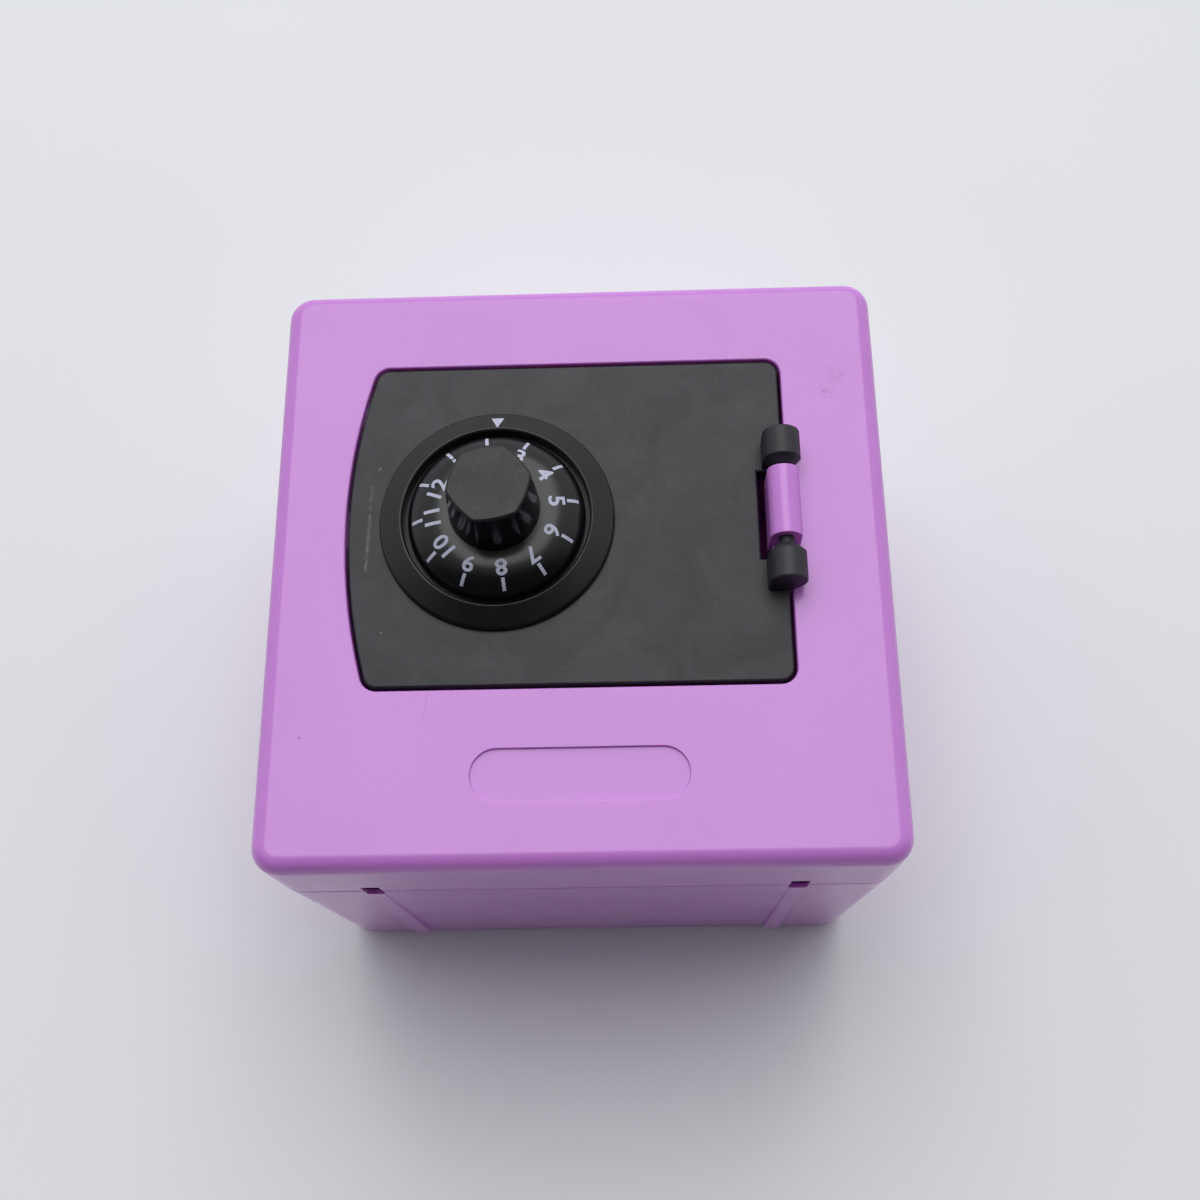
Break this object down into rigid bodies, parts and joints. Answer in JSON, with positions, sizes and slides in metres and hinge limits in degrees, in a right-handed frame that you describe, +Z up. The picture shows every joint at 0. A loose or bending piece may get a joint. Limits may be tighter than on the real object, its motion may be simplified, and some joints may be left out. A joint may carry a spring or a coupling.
{
  "type": "toy safe coin bank",
  "caption": "Square toy safe coin bank with a hinged front door, a numbered combination dial and knob, a coin slot in the top and two rails under the case.",
  "frame": {"origin": "under the middle of the whole object, on the surface that it stands on", "axes": "+Z up, +Y from the door towards the back, +X to the right as seen from the front"},
  "size_m": [0.076, 0.071, 0.076],
  "materials": {
    "case_plastic": "gloss",
    "door_plastic": "matt",
    "bezel_plastic": "satin",
    "dial_plastic": "gloss",
    "lock_plastic": "satin",
    "spacer_plastic": "matt",
    "zinc_steel": "zinc plated"
  },
  "bodies": {
    "case": {"rear_body": "case_plastic", "front_cover": "case_plastic"},
    "door": {"door": "door_plastic", "dial_bezel": "bezel_plastic", "rear_spacer": "spacer_plastic", "front_spacer": "spacer_plastic"},
    "dial": {"dial": "dial_plastic", "drive_disc": "lock_plastic", "screw_washer": "zinc_steel", "lock_screw": "zinc_steel"},
    "rear_tumbler": {"rear_tumbler": "lock_plastic"},
    "front_tumbler": {"front_tumbler": "lock_plastic"}
  },
  "joints": [
    {"name": "door_hinge", "type": "hinge", "parent": "case", "child": "door", "pos_m": [0.0251, -0.027, 0.0429], "axis": [0, 0, 1], "range_deg": [0, 200]},
    {"name": "dial_spin", "type": "hinge", "parent": "door", "child": "dial", "pos_m": [-0.01, -0.0245, 0.0429], "axis": [0, -1, 0], "continuous": true},
    {"name": "rear_tumbler_turn", "type": "hinge", "parent": "dial", "child": "rear_tumbler", "pos_m": [-0.01, -0.0175, 0.0429], "axis": [0, -1, 0], "range_deg": [-165, 165]},
    {"name": "front_tumbler_turn", "type": "hinge", "parent": "rear_tumbler", "child": "front_tumbler", "pos_m": [-0.01, -0.0195, 0.0429], "axis": [0, -1, 0], "range_deg": [-165, 165]}
  ]
}
